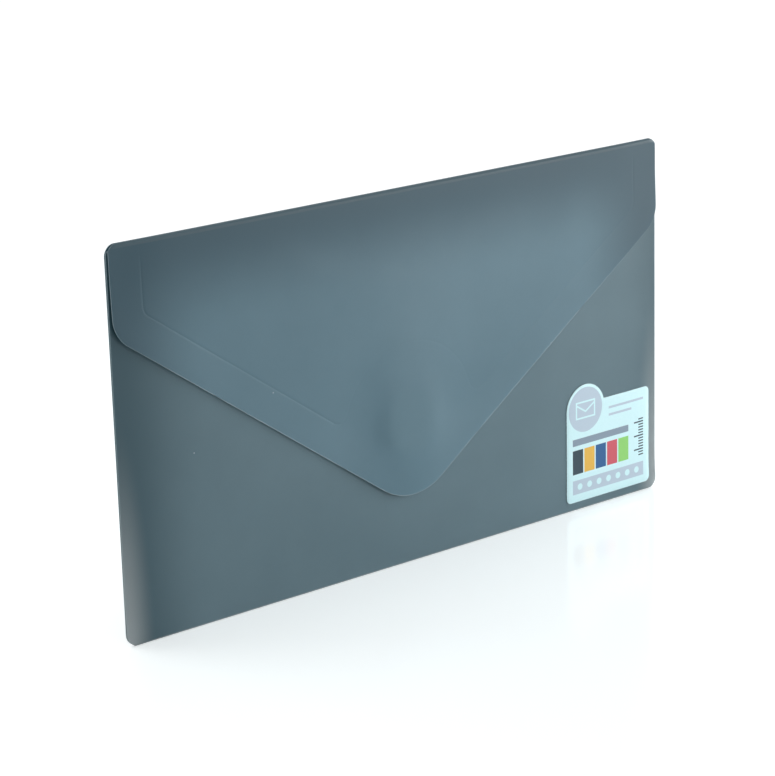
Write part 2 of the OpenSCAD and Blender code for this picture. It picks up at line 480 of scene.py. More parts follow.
def floor_reflection_zone(tree, spot):
    """Share of the painted floor reflection at the lower corners, up the lower sides and on the underside of
    the fold.
    """
    inwards = maths(tree, "SUBTRACT", half_w, maths(tree, "ABSOLUTE", spot.outputs["X"]))
    corner = add_node(tree, "ShaderNodeCombineXYZ", X=maths(tree, "DIVIDE", inwards, reflect_w),
                      Y=maths(tree, "DIVIDE", spot.outputs["Z"], reflect_h))
    far = add_node(tree, "ShaderNodeVectorMath", {"operation": "LENGTH"})
    tree.links.new(corner.outputs["Vector"], far.inputs[0])
    clear = maths(tree, "MINIMUM", between(tree, far.outputs["Value"], 0.0, 1.0),
                  between(tree, spot.outputs["Z"], fold_reflect_z, fold_clear_z))
    return maths(tree, "MULTIPLY_ADD", clear, -reflect_share, reflect_share)


def dust_zone(tree, where):
    """Share of dust: a small speck in the middle of some cells."""
    cells = add_node(tree, "ShaderNodeTexVoronoi", Vector=where, Scale=dust_cells)
    draw = add_node(tree, "ShaderNodeSeparateColor", Color=cells.outputs["Color"]).outputs[0]
    speck = maths(tree, "MULTIPLY", maths(tree, "GREATER_THAN", draw, dust_least),
                  maths(tree, "LESS_THAN", cells.outputs["Distance"], dust_r))
    return maths(tree, "MULTIPLY", speck, dust_share)


# %% The sheet's material
rub_stretch, rub_turn = (0.02, 0.6, 2.2), 0.5
rub_rough, cloud_rough = 0.06, 0.12


def sheet_finish(name, dark, light, shade_tint, rough, through, shift=0.0):
    """Satin plastic between two tints, with painted shade along the welds and the crease, a painted floor
    reflection low down, and dust.
    """
    finish, tree, shader = new_finish(name, IOR=1.49, Transmission_Weight=through, Specular_IOR_Level=0.35)
    where = place_mm(tree)
    spot = add_node(tree, "ShaderNodeSeparateXYZ", Vector=where)
    clouds = clouds_of(tree, where, 0.028, 3.0, Roughness=0.55)
    tint = maths(tree, "MULTIPLY_ADD", clouds_of(tree, where, 0.9, 2.0), 0.12, clouds)
    colour = mix_colours(tree, between(tree, tint, 0.3, 0.85), dark, light)
    # Painted shade: the tint darkens along the welds and the crease, more on one side than the other.
    colour = mix_colours(tree, painted_shade_zone(tree, spot, shift), colour, shade_tint)
    # Painted reflection: a pale tint at the lower corners, up the lower sides and under the fold.
    colour = mix_colours(tree, floor_reflection_zone(tree, spot), colour, reflect_tint)
    colour = mix_colours(tree, dust_zone(tree, where), colour, dust_tint)
    tree.links.new(colour, shader.inputs["Base Color"])
    rubs = clouds_of(tree, place_mm(tree, rub_stretch, rub_turn), 1.0, 1.0)
    cloudy = maths(tree, "MULTIPLY_ADD", clouds, cloud_rough, rough - cloud_rough / 2)
    rubbed = maths(tree, "MULTIPLY_ADD", between(tree, rubs, 0.68, 0.74), rub_rough, cloudy)
    tree.links.new(rubbed, shader.inputs["Roughness"])
    roughen(tree, shader, clouds_of(tree, where, 3.2, 2.0), strength=0.12, depth=0.02)
    return finish


# The flap and the panels are one sheet; the flap's bluer tints paint the difference in light that falls on
# it.
flap_tints = (0.127, 0.244, 0.31, 1), (0.151, 0.276, 0.345, 1)
panel_tints = (0.134, 0.226, 0.271, 1), (0.157, 0.255, 0.303, 1)
# The cut edges' pale tints are a painted highlight; their darkest tint is painted shade at the welds and the
# crease.
edge_highlight_tints = (0.62, 0.74, 0.78, 1), (0.72, 0.82, 0.86, 1)
# The darkest tint of each finish is the colour of its painted shade along the welds and the crease.
flap_finish = sheet_finish("flap_sheet_finish", *flap_tints, shade_tint=(0.026, 0.085, 0.122, 1),
                           rough=0.40, through=0.45, shift=-4.0)
panel_finish = sheet_finish("panel_sheet_finish", *panel_tints, shade_tint=(0.028, 0.086, 0.115, 1),
                            rough=0.42, through=0.45, shift=13.0)
edge_highlight_finish = sheet_finish("cut_edge_highlight_finish", *edge_highlight_tints, shade_tint=(0.17, 0.27, 0.32, 1),
                           rough=0.45, through=0.3)
print("finishes made for the flap, the panels and the cut edges")

# %% [markdown]
# ## Back panel
# The rear wall of the pocket is plain sheet between the bottom fold and the crease. It could stay the flat
# CAD plate, but light on a perfectly flat plate looks dead, so it is made again as a sheet that wavers by
# a twentieth of a millimetre and has die-cut edges.

# %% Back panel
def seat(obj, body, node):
    """A finished piece moves with its body and stands for its CAD node."""
    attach(obj, body)
    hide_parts(node)


back_half = right_side(fold_r, leg_z)
back_outline = joined(back_half, mirrored(back_half))
back_sheet = flat_sheet("back_sheet", [back_outline], cell=6, finishes=(panel_finish, edge_highlight_finish))
shape(back_sheet, lambda p: (p.x, back_y - sheet_t / 2 - back_push(p.x, p.z), p.z))
thicken(back_sheet, sheet_t, plain_end=lambda p: p.z < fold_r + near_end or p.z > leg_z - near_end)
smooth(back_sheet)
seat(back_sheet, "pocket", "back_panel")

# %% [markdown]
# ## Front panel
# The front wall has a wide thumb notch in its mouth, an arc that runs into the straight mouth through two
# eased corners. It shows as a faint curve through the flap. A Boolean could cut the notch, but drawn as
# part of the outline it keeps a clean edge. The panel is drawn back towards the welds at both sides and
# swells a little in between; this and the shade painted into its tint along the welds make the soft
# shading along its edges.

# %% Rules for a notch
def bearing(v):
    """Direction of v in degrees."""
    return math.degrees(math.atan2(v.y, v.x))


def short_arc(centre, r, a, b):
    """The same arc, the short way round."""
    return arc(centre, r, a, b - 360 * round((b - a) / 360))


def eased_into_circle(p, u, centre, r, ease_r, last):
    """Points from the line through p along u, round an eased corner, and along a circle to a bearing."""
    n = turned(u, -90)
    q = p + n * ease_r
    b = (q - centre).dot(u)
    m = q - u * (b + math.sqrt(b * b - (q - centre).length_squared + (r + ease_r) ** 2))
    return (short_arc(m, ease_r, bearing(-n), bearing(centre - m))
            + short_arc(centre, r, bearing(m - centre), last))


# %% Front panel
notch_w, notch_d, notch_ease_r = 113.0, 26.0, 6.0
notch_r = (notch_w ** 2 / 4 + notch_d ** 2) / (2 * notch_d)
notch_centre = Vector((0, mouth_z + notch_r - notch_d))
left_lip = eased_into_circle(Vector((-half_w, mouth_z)), Vector((1, 0)), notch_centre, notch_r,
                             notch_ease_r, last=-90)
front_half = right_side(fold_r, mouth_z) + [Vector((-p.x, p.y)) for p in left_lip]
front_outline = joined(front_half, mirrored(front_half))
front_sheet = flat_sheet("front_sheet", [front_outline], cell=3.2, finishes=(panel_finish, edge_highlight_finish),
                         rim=rim_w)
shape(front_sheet, lambda p: (p.x, front_y + sheet_t / 2 + panel_push(p.x, p.z), p.z))
front_end_z = fold_r + 1.25 * rim_w
thicken(front_sheet, sheet_t, plain_end=lambda p: p.z < front_end_z)
smooth(front_sheet)
seat(front_sheet, "pocket", "front_panel")

# %% [markdown]
# ## Bottom fold
# The sheet turns round the bottom in one tight bend. A ring is cut in half and drawn out along the fold,
# which is the shape of a bent sheet; a bevel on a box would not be hollow. The ends are trimmed to the
# round corners of the envelope by a few cuts along the corner's tangents.

# %% Bottom fold
fold_sides, fold_cell, corner_cuts = 32, 9, 12


def trim_corners(obj, z_sign):
    """Cut the two upper or lower corners of the envelope's outline off a strip."""
    edit_all(obj)
    mid_z = height - corner_r if z_sign > 0 else corner_r
    for side in (-1, 1):
        mid = Vector((side * (half_w - corner_r), 0, mid_z))
        for k in range(1, corner_cuts):
            a = math.radians(90 * k / corner_cuts)
            n = Vector((side * math.cos(a), 0, z_sign * math.sin(a)))
            slice_open(mid + n * corner_r, n, keep_both=False)
    bpy.ops.object.mode_set(mode="OBJECT")


start_piece()
bpy.ops.mesh.primitive_circle_add(vertices=fold_sides, radius=(fold_r - sheet_t / 2) * MM,
                                  location=(-half_w * MM, (back_y - fold_r) * MM, fold_r * MM),
                                  rotation=(0, math.pi / 2, 0), fill_type="NOTHING")
fold_strip = name_piece("fold_strip")
settle(fold_strip)
edit_all(fold_strip)
slice_open((0, 0, fold_r), (0, 0, 1), keep_both=False)
bpy.ops.mesh.select_all(action="SELECT")
bpy.ops.mesh.extrude_region_move(TRANSFORM_OT_translate={"value": (2 * half_w * MM, 0, 0)})
for x in steps(-half_w, half_w, fold_cell):
    slice_open((x, 0, 0), (1, 0, 0))
merge_open(merge_gap)
bpy.ops.mesh.normals_make_consistent(inside=False)
trim_corners(fold_strip, -1)
wear(fold_strip, panel_finish, edge_highlight_finish)
thicken(fold_strip, sheet_t, plain_end=lambda p: p.z > fold_r - 2 * near_end)
smooth(fold_strip, 50)
seat(fold_strip, "pocket", "bottom_fold")

# %% [markdown]
# ## Welded side seams
# A hot knurled bar melts the two panels together along each side. What is left between them is a narrow
# ribbed strip. An Array of small bars could make the ribs, but they would not be one melt, so the seam is
# a long grid whose every second row is pressed in, and it follows the panel that is drawn towards it.

# %% Side seams
seam_w, seam_h, seam_low, seam_x = 3, 116, 4, 110.5
seam_cells, rib_count, rib_d = 6, 150, 0.03
seam_fill, gauge_x, gauge_z = 0.8, 109.2, 60
weld_finish = sheet_finish("weld_finish", (0.2, 0.28, 0.32, 1), (0.3, 0.38, 0.42, 1),
                           shade_tint=(0.16, 0.22, 0.26, 1), rough=0.5, through=0.4)


def side_seam(name, side):
    """Ribbed weld that fills most of the gap between the two panels."""
    start_piece()
    bpy.ops.mesh.primitive_grid_add(x_subdivisions=seam_cells, y_subdivisions=rib_count, size=1,
                                    location=(side * seam_x * MM, 0, (seam_low + seam_h / 2) * MM),
                                    rotation=(math.pi / 2, 0, 0))
    obj = name_piece(name)
    settle(obj, (seam_w * MM, seam_h * MM, 1))
    pitch = seam_h / rib_count

    def between_panels(p):
        front = front_y + sheet_t + panel_push(p.x, p.z)
        rear = back_y - sheet_t - back_push(p.x, p.z)
        rib = rib_d * math.cos(math.pi * round((p.z - seam_low) / pitch))
        return p.x, (front + rear) / 2 + rib, p.z

    shape(obj, between_panels)
    gap = back_y - 2 * sheet_t - front_y - panel_push(side * gauge_x, gauge_z)
    wear(obj, weld_finish, edge_highlight_finish)
    thicken(obj, gap * seam_fill, edge=0.04)
    smooth(obj)
    return obj


for name, side in (("left", -1), ("right", 1)):
    seam = side_seam(f"{name}_seam", side)
    seat(seam, "pocket", f"{name}_weld")

# %% [markdown]
# ## Crease
# The flap hangs on the sheet itself, which bends over the top in a living hinge. A narrow strip above the
# back panel is spun round the axis of the bend and drawn out to meet the flap, and its ends are pressed a
# little flatter. A pin and two rigid halves could make the hinge too, but no such envelope has them.

# %% Crease
crease_cells, bend_steps = 60, 24
crease_lap, blend_end_y = 0.01, 0.72


def edit_where(obj, rule, kind):
    """Open obj in edit mode with the edges or faces selected that the rule picks, in mm."""
    edit_all(obj)
    bpy.ops.mesh.select_mode(type=kind)
    bpy.ops.mesh.select_all(action="DESELECT")
    bpy.ops.object.mode_set(mode="OBJECT")
    if kind == "EDGE":
        for e in obj.data.edges:
            e.select = all(rule(obj.data.vertices[i].co / MM) for i in e.vertices)
    else:
        for f in obj.data.polygons:
            f.select = rule(f.center / MM)
    bpy.ops.object.mode_set(mode="EDIT")


start_piece()
bpy.ops.mesh.primitive_grid_add(x_subdivisions=crease_cells, y_subdivisions=1, size=1,
                                location=(0, (back_y - sheet_t / 2) * MM, (leg_z + crease_leg / 2) * MM),
                                rotation=(math.pi / 2, 0, 0))
crease_strip = name_piece("crease_strip")
settle(crease_strip, (2 * half_w * MM, crease_leg * MM, 1))
edit_where(crease_strip, lambda p: p.z > crease_z - near_end, "EDGE")
bpy.ops.mesh.spin(steps=bend_steps, angle=flap_lean - math.pi, center=(0, crease_y * MM, crease_z * MM),
                  axis=(1, 0, 0))
leg = Matrix.Rotation(-flap_lean, 3, "X") @ Vector((0, 0, (flap_top - crease_lap - crease_z) * MM))
bpy.ops.mesh.extrude_region_move(TRANSFORM_OT_translate={"value": leg})
merge_open(merge_gap)
bpy.ops.mesh.normals_make_consistent(inside=False)
trim_corners(crease_strip, 1)
shape(crease_strip, lambda p: (p.x, p.y + end_pinch(p.x) * (back_y - sheet_t / 2 - p.y), p.z))
crease_top = max(v.co.z for v in crease_strip.data.vertices) / MM
print(f"the crease's middle layer reaches z {crease_top:.3f} mm")

# %% Crease: finish
# The crease's painted shade is lighter than the flap's, so its upward bend is not so dark.
crease_finish = sheet_finish("crease_sheet_finish", *flap_tints, shade_tint=(0.061, 0.113, 0.14, 1),
                             rough=0.40, through=0.45)
wear(crease_strip, crease_finish, edge_highlight_finish)
thicken(crease_strip, sheet_t, plain_end=lambda p: p.z < leg_z + 2 * near_end)
smooth(crease_strip, 50)
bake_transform(crease_strip)
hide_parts("flap_crease")

# %% [markdown]
# ## Flap
# The flap is a wide V with round shoulders and a round tip. A line is pressed into it parallel to its
# edge; above the closure the line swings up in an arc. A bump map could draw the line, but it would be
# missing in the mesh, so the sheet is drawn as a border, six narrow bands for the line and a field, and
# the line keeps its own crisp edges.

# %% Flap: its slopes
def rounded_corner(before, p, after, r):
    """Points that round the corner at p between its two neighbours."""
    u, v = (before - p).normalized(), (after - p).normalized()
    half = u.angle(v) / 2
    centre = p + (u + v).normalized() * (r / math.sin(half))
    cut = r / math.tan(half)
    return short_arc(centre, r, bearing(p + u * cut - centre), bearing(p + v * cut - centre))


tip_to_shoulder = shoulder - tip_centre
slope_turn = math.degrees(math.acos(tip_r / tip_to_shoulder.length))
slope_out = turned(tip_to_shoulder.normalized(), -slope_turn)
slope_dir = (tip_centre + slope_out * tip_r - shoulder).normalized()
print(f"the flap's slopes fall at {abs(bearing(slope_dir)) - 90:.1f} degrees from upright")

# %% Flap: outline and pressed line
slope_run = 60
corner_mid = Vector((half_w - corner_r, height - corner_r))
corner_from = math.degrees(math.asin((flap_top - corner_mid.y) / corner_r))
corner_to = math.degrees(math.acos((flap_half_w - corner_mid.x) / corner_r))
edge_top = Vector((flap_half_w, flap_top))
edge_half = (arc(corner_mid, corner_r, corner_from, corner_to)
             + rounded_corner(edge_top, shoulder, shoulder + slope_dir * slope_run, shoulder_r)
             + arc(tip_centre, tip_r, bearing(slope_out), -90))
flap_edge = joined(edge_half, mirrored(edge_half))


def line_at(more):
    """A line that runs parallel to the outer edge of the pressed line, more millimetres further in."""
    inset, ease_r = line_inset + more, line_corner_r - more
    top = Vector((flap_half_w - inset, flap_top))
    begin = shoulder - slope_out * inset
    corner = begin + slope_dir * ((top.x - begin.x) / slope_dir.x)
    half = ([top] + rounded_corner(top, corner, corner + slope_dir * slope_run, ease_r)
            + eased_into_circle(begin, slope_dir, Vector((0, closure_z)), lobe_r + more, ease_r, last=90))
    return joined(half, mirrored(half))


line_mid = line_half = line_w / 2
line_bands = (-2.2, -1, -0.5, 0, 0.5, 1, 2.2)
line_edges = [line_at(line_mid + line_half * k) for k in line_bands]
flap_faces = [flap_edge[::-1] + line_edges[0]]
flap_faces += [a[::-1] + b for a, b in zip(line_edges, line_edges[1:])]
flap_faces += [line_edges[-1][::-1]]
flap_sheet = flat_sheet("flap_sheet", flap_faces, cell=3.0, finishes=(flap_finish, edge_highlight_finish), rim=rim_w)
print(f"flap outline of {len(flap_edge)} points, {len(flap_sheet.data.polygons)} cells")

# %% [markdown]
# ## How the flap lies
# Shut, the flap isn't flat. Its crease holds it at the top and the closure lifts it in a low ridge, which
# falls off steeply at the coin's rim. Beside the ridge it lies down on the panel, its border flares a
# little, it sags into the thumb notch and its tip falls back. Each of these is one short rule, and the
# sheet follows their sum. Sculpting could give the same form, but rules can be read and changed. At last
# the whole sheet is leaned out about the crease as far as the closure holds it.

# %% Flap: lines to measure from
path_step = 0.03


def points_along(path):
    """Points along a path, in a tree that finds the nearest one."""
    points = []
    for a, b in zip(path, path[1:]):
        n = max(1, math.ceil((b - a).length / path_step))
        points += [a.lerp(b, i / n) for i in range(n)]
    tree = kdtree.KDTree(len(points))
    for i, p in enumerate(points):
        tree.insert((p.x, p.y, 0), i)
    tree.balance()
    return tree


line_tree, edge_tree = points_along(line_at(line_mid)), points_along(flap_edge)
print("the flap's edge and its pressed line can be measured from")

# %% Flap: rules for its slack
hung_h, pinch_h = 12, 30
lift_start, lift_reach, lift_squash = 0.5, 46, 0.7
lie_gap, lie_share, side_share, side_x, side_w = 0.35, 0.6, 0.5, 70, 36
flare_d, flare_x, flare_w, flare_z, flare_h = 0.25, 8, 22, 106, 18
rim_d, rim_run, tiny = 1.35, 5, 0.01
sag_d, sag_run = 0.12, 3.5
tip_d, tip_start, tip_run = 0.3, 9, 14
line_d, lobe_share, lobe_start, lobe_run, line_end, line_fade = 0.045, 0.35, 1, 5, 4, 3
flap_uneven, flap_wave = 0.035, 34


def flat_gap(x, z):
    """Gap that the leaned, flat flap would close to lie on the front panel behind it."""
    leaned = (flap_top - z) * math.tan(flap_lean)
    return front_y - flap_y - sheet_t / 2 + leaned + lie_share * panel_push(x, z)


# %% Flap: its drape and its pressed line
def draped(x, z):
    """How far the flap falls back between the closure and its edge."""
    r = math.hypot(x, (z - closure_z) * (lift_squash if z > closure_z else 1.0))
    lifted = 1 - ease((r - coin_r + lift_start) / lift_reach)
    at_side = 1 - side_share * ease((abs(x) - side_x) / side_w)
    lying = (1 - lifted) * at_side * (flat_gap(x, z) - lie_gap)
    to_edge = edge_tree.find((x, z, 0))[2]
    border = max(0.0, 1 - to_edge / (line_inset + line_mid))
    flare = flare_d * border * ease((abs(x) - flare_x) / flare_w) * ease((flare_z - z) / flare_h)
    sideways = x * x / (x * x + (z - closure_z) ** 2 + tiny)
    rim = rim_d * (1 - math.exp(-max(0.0, r - coin_r) / rim_run)) * lifted * sideways
    into_notch = sag_d * ease((notch_r - (Vector((x, z)) - notch_centre).length) / sag_run)
    return lying - flare + rim + into_notch - flap_uneven * waver(x, z, flap_wave, seed=1.3)


def pressed(x, z):
    """Depth of the pressed line, less round the closure and none at the crease."""
    past_lobe = ease((math.hypot(x, z - closure_z) - lobe_r - lobe_start) / lobe_run)
    below_crease = ease((flap_top - line_end - z) / line_fade)
    depth = line_d * (lobe_share + (1 - lobe_share) * past_lobe) * below_crease
    to_line = line_tree.find((x, z, 0))[2]
    return depth * 0.5 * (1 + math.cos(math.pi * min(1.0, to_line / line_half)))


def flap_slack(x, z):
    """How far the flap falls back from its flat place towards the panel, +Y."""
    pinched = end_pinch(x) * (back_y - sheet_t / 2 - flap_y) * (1 - ease((flap_top - z) / pinch_h))
    hung = ease((flap_top - z) / hung_h)
    tip_back = tip_d * ease((closure_z - tip_start - z) / tip_run)
    return pinched + hung * draped(x, z) + tip_back + pressed(x, z)


# %% Flap: shaped, leaned and thickened
shape(flap_sheet, lambda p: (p.x, flap_y + flap_slack(p.x, p.z), p.z))
pivot = Vector((0, crease_y, crease_z)) * MM
lean = Matrix.Translation(pivot) @ Matrix.Rotation(-flap_lean, 4, "X") @ Matrix.Translation(-pivot)
flap_sheet.data.transform(lean)
thicken(flap_sheet, sheet_t, plain_end=lambda p: p.z > flap_top - rim_w)
smooth(flap_sheet, 30)
seat(flap_sheet, "flap", "flap")

# %% [markdown]
# ## Closure
# Two round coins hold the flap. The soft one, on the front panel, is a woven disc with a pile of nylon
# loops; the other, under the flap, is a thin moulded disc with rows of tiny hooks. One loop and one hook
# are modelled with a few faces each, repeated by two Array modifiers, and those outside the coin are
# deleted. Hair particles would look softer, but an exported mesh has to hold its own strands.

# %% One coin's disc
coin_sides, coin_bevel, coin_border, coin_step, coin_sink = 72, 0.1, 0.55, 0.12, 0.03
bare_border, film_t = 0.95, 0.1


def coin_disc(name, t):
    """A round disc that lies on the floor plane, with an eased upper rim round a sunk field."""
    start_piece()
    bpy.ops.mesh.primitive_cylinder_add(vertices=coin_sides, radius=coin_r * MM, depth=t * MM,
                                        location=(0, 0, t / 2 * MM))
    obj = name_piece(name)
    settle(obj)
    edit_where(obj, lambda p: p.z > t - near_end, "EDGE")
    bpy.ops.mesh.bevel(offset=coin_bevel * MM, segments=3, affect="EDGES")
    edit_where(obj, lambda p: p.z > t - near_end and p.length < coin_r / 2, "FACE")
    bpy.ops.mesh.inset(thickness=coin_border * MM)
    bpy.ops.mesh.inset(thickness=coin_step * MM, depth=-coin_sink * MM)
    bpy.ops.object.mode_set(mode="OBJECT")
    return obj


# %% Rows of copies that stand on a coin
def cover_disc(obj, pitch_x, pitch_y, reach, vary):
    """Repeat one small shape over a disc; vary says how each copy is shifted, turned and sized."""
    n = len(obj.data.vertices)
    columns, rows = math.ceil(2 * reach / pitch_x), math.ceil(2 * reach / pitch_y)
    for count, offset in ((columns, (pitch_x * MM, 0, 0)), (rows, (0, pitch_y * MM, 0))):
        apply_modifier(obj, "ARRAY", count=count, use_relative_offset=False, use_constant_offset=True,
                       constant_offset_displace=offset)
    outside = set()
    for copy in range(columns * rows):
        row, column = divmod(copy, columns)
        home = Vector((column * pitch_x, row * pitch_y, 0))
        shift, turn, size = vary(column, row)
        place = home - Vector((reach, reach, 0)) + shift
        for v in obj.data.vertices[copy * n:copy * n + n]:
            v.co = (Matrix.Rotation(turn, 3, "Z") @ (v.co / MM - home) * size + place) * MM
        if place.length > reach:
            outside.update(range(copy * n, copy * n + n))
    edit_all(obj)
    bpy.ops.mesh.select_all(action="DESELECT")
    bpy.ops.object.mode_set(mode="OBJECT")
    for i in outside:
        obj.data.vertices[i].select = True
    bpy.ops.object.mode_set(mode="EDIT")
    bpy.ops.mesh.delete(type="VERT")
    bpy.ops.object.mode_set(mode="OBJECT")
    print(f"{obj.name}: {columns * rows - len(outside) // n} copies")


def stand_on(base, cover, turn_x, place, more=Matrix.Identity(4)):
    """Join a cover to its disc, stand the coin upright and put it in its place."""
    select_only(base)
    cover.select_set(True)
    bpy.ops.object.join()
    base.data.transform(more @ Matrix.Translation(Vector(place) * MM) @ Matrix.Rotation(turn_x, 4, "X"))


def scatter(column, row, seed):
    """A steady number from 0 to 1 for each copy."""
    return noise.cell(Vector((column + 0.5, row + 0.5, seed))) * 0.5 + 0.5


# %% Loop pile on the front panel
loop_base_t, loop_r, loop_wire_r, loop_cut_z, loop_foot_z = 0.26, 0.27, 0.045, -0.02, 0.24
loop_pitch, loop_stray, loop_least, loop_vary = 0.62, 0.4, 0.75, 0.3
loop_pad = coin_disc("loop_pad", loop_base_t)
start_piece()
bpy.ops.mesh.primitive_torus_add(major_segments=10, minor_segments=4, major_radius=loop_r * MM,
                                 minor_radius=loop_wire_r * MM, rotation=(math.pi / 2, 0, 0))
pile = name_piece("pile")
settle(pile)
edit_all(pile)
slice_open((0, 0, loop_cut_z), (0, 0, -1), keep_both=False)
bpy.ops.mesh.select_all(action="SELECT")
bpy.ops.mesh.fill_holes(sides=0)
bpy.ops.object.mode_set(mode="OBJECT")
pile.data.transform(Matrix.Translation((0, 0, loop_foot_z * MM)))


def vary_loop(column, row):
    """A loop strays from its place, stands in any direction and is a little larger or smaller."""
    stray = Vector((scatter(column, row, 1) - 0.5, scatter(column, row, 2) - 0.5, 0)) * loop_stray
    return stray, math.tau * scatter(column, row, 3), loop_least + loop_vary * scatter(column, row, 4)


cover_disc(pile, loop_pitch, loop_pitch, coin_r - bare_border, vary_loop)
stand_on(loop_pad, pile, math.pi / 2, (0, front_y - film_t, closure_z))

# %% Hooks under the flap
hook_base_t, hook_w, hook_foot_z, hook_stem, hook_bend_r = 0.24, 0.17, 0.2, 0.22, 0.12
hook_pitch_x, hook_pitch_y, hook_least, hook_vary = 0.72, 0.8, 0.95, 0.06
hook_pad = coin_disc("hook_pad", hook_base_t)
start_piece()
bpy.ops.mesh.primitive_plane_add(size=hook_w * MM, location=(0, 0, hook_foot_z * MM))
hooks = name_piece("hooks")
settle(hooks)
edit_all(hooks)
bpy.ops.mesh.extrude_region_move(TRANSFORM_OT_translate={"value": (0, 0, hook_stem * MM)})
bpy.ops.transform.resize(value=(0.8, 0.8, 1))
bpy.ops.mesh.spin(steps=5, angle=math.radians(-150), axis=(0, 1, 0),
                  center=(hook_bend_r * MM, 0, (hook_foot_z + hook_stem) * MM))
bpy.ops.transform.resize(value=(0.6, 0.6, 0.6))
bpy.ops.mesh.select_all(action="SELECT")
bpy.ops.mesh.normals_make_consistent(inside=False)
bpy.ops.object.mode_set(mode="OBJECT")


def vary_hook(column, row):
    """Every second row of hooks is shifted by half a pitch and turned round."""
    odd = row % 2
    shift = Vector((hook_pitch_x / 2 * odd, 0, 0))
    return shift, math.pi * odd, hook_least + hook_vary * scatter(column, row, 5)


cover_disc(hooks, hook_pitch_x, hook_pitch_y, coin_r - bare_border, vary_hook)
stand_on(hook_pad, hooks, -math.pi / 2, (0, flap_y + sheet_t / 2 + film_t, closure_z), lean)

# %% [markdown]
# ## Finishes of the coins
# Nylon pile is a dark, dull fabric with a soft sheen, and its tufts differ in tone. The hook tape is
# moulded of the same nylon, so it is smoother and shows faint streaks where the melt flowed. One black
# for both would be simpler, but on the open envelope the two coins have to look different.

# %% Finishes of the coins
pile_finish, tree, shader = new_finish("pile_finish", Sheen_Weight=0.5, Sheen_Roughness=0.5, IOR=1.5)
tufts = clouds_of(tree, place_mm(tree), 2.6, 3.0)
pile_tint = mix_colours(tree, between(tree, tufts, 0.35, 0.65), (0.035, 0.038, 0.042, 1),
                        (0.12, 0.125, 0.13, 1))
tree.links.new(pile_tint, shader.inputs["Base Color"])
tree.links.new(maths(tree, "MULTIPLY_ADD", tufts, 0.25, 0.55), shader.inputs["Roughness"])
roughen(tree, shader, tufts, strength=0.4, depth=0.05)

hook_finish, tree, shader = new_finish("hook_finish", IOR=1.53)
flow = clouds_of(tree, place_mm(tree, (0.5, 1, 0.08)), 1.5, 2.0)
hook_tint = mix_colours(tree, flow, (0.03, 0.032, 0.035, 1), (0.075, 0.08, 0.085, 1))
tree.links.new(hook_tint, shader.inputs["Base Color"])
tree.links.new(maths(tree, "MULTIPLY_ADD", flow, 0.2, 0.28), shader.inputs["Roughness"])

for pad, finish, body, node, slot in ((loop_pad, pile_finish, "pocket", "loop_coin", "loop_pile"),
                                      (hook_pad, hook_finish, "flap", "hook_coin", "hook_tape")):
    wear(pad, finish)
    smooth(pad, 40)
    seat(pad, body, node)

# %% [markdown]
# ## Label
# A coated paper label is stuck to the lower right of the front panel. Its round lobe stands above its
# upper left corner. The label is a thin sheet on a film of adhesive, and both follow the slack of the
# panel that carries them. The print is a plain design of this model's own: a disc with a small envelope
# sign, a few bands, a row of colour chips and a short scale. An image would need a file, so each shape is
# a mask on the label's own coordinates, and the edges stay sharp from any distance.

# %% Label: outline and sheets
label_corner_r, label_lobe_r, label_lobe_rise = 2.0, 8.9, 6.7
label_top = label_high.z - label_lobe_rise
lobe = Vector((label_low.x + label_lobe_r, label_high.z - label_lobe_r))
low_left, low_right = Vector((label_low.x, label_low.z)), Vector((label_high.x, label_low.z))
high_left, high_right = Vector((label_low.x, label_top)), Vector((label_high.x, label_top))
lobe_from = math.degrees(math.asin(1 - label_lobe_rise / label_lobe_r))
label_outline = joined(rounded_corner(high_left, low_left, low_right, label_corner_r),
                       rounded_corner(low_left, low_right, high_right, label_corner_r),
                       rounded_corner(low_right, high_right, high_left, label_corner_r),
                       arc(lobe, label_lobe_r, lobe_from, 180))


def stuck_sheet(name, y, t, edge, finish):
    """A sheet of the label's outline that follows the front panel, with its middle layer at y."""
    obj = flat_sheet(name, [label_outline], cell=2.0, finishes=[finish])
    shape(obj, lambda p: (p.x, y + panel_push(p.x, p.z), p.z))
    thicken(obj, t, edge=edge)
    return obj


print(f"label outline of {len(label_outline)} points")

# %% Label: masks for the print
label_finish, tree, shader = new_finish("label_finish", IOR=1.48, Specular_IOR_Level=0.25)
from_corner = add_node(tree, "ShaderNodeMapping", Vector=place_mm(tree),
                       Location=(-label_low.x, 0, -label_low.z)).outputs["Vector"]
spot = add_node(tree, "ShaderNodeSeparateXYZ", Vector=from_corner)
u, v = spot.outputs["X"], spot.outputs["Z"]


def block(u0, v0, u1, v1):
    """1 inside a rectangle of the print, in mm from the label's lower left corner."""
    return maths(tree, "MULTIPLY", maths(tree, "COMPARE", u, (u0 + u1) / 2, (u1 - u0) / 2),
                 maths(tree, "COMPARE", v, (v0 + v1) / 2, (v1 - v0) / 2))


def block_round(cu, cv, half_u, half_v):
    """1 inside a rectangle of the print about a middle."""
    return block(cu - half_u, cv - half_v, cu + half_u, cv + half_v)


def disc(cu, cv, r):
    """1 inside a disc of the print."""
    gap = add_node(tree, "ShaderNodeVectorMath", {"operation": "DISTANCE"})
    tree.links.new(add_node(tree, "ShaderNodeCombineXYZ", X=u, Z=v).outputs[0], gap.inputs[0])
    gap.inputs[1].default_value = (cu, 0, cv)
    return maths(tree, "LESS_THAN", gap.outputs["Value"], r)


def without(a, b):
    """1 where a is and b isn't."""
    return maths(tree, "MULTIPLY", a, maths(tree, "SUBTRACT", 1.0, b))


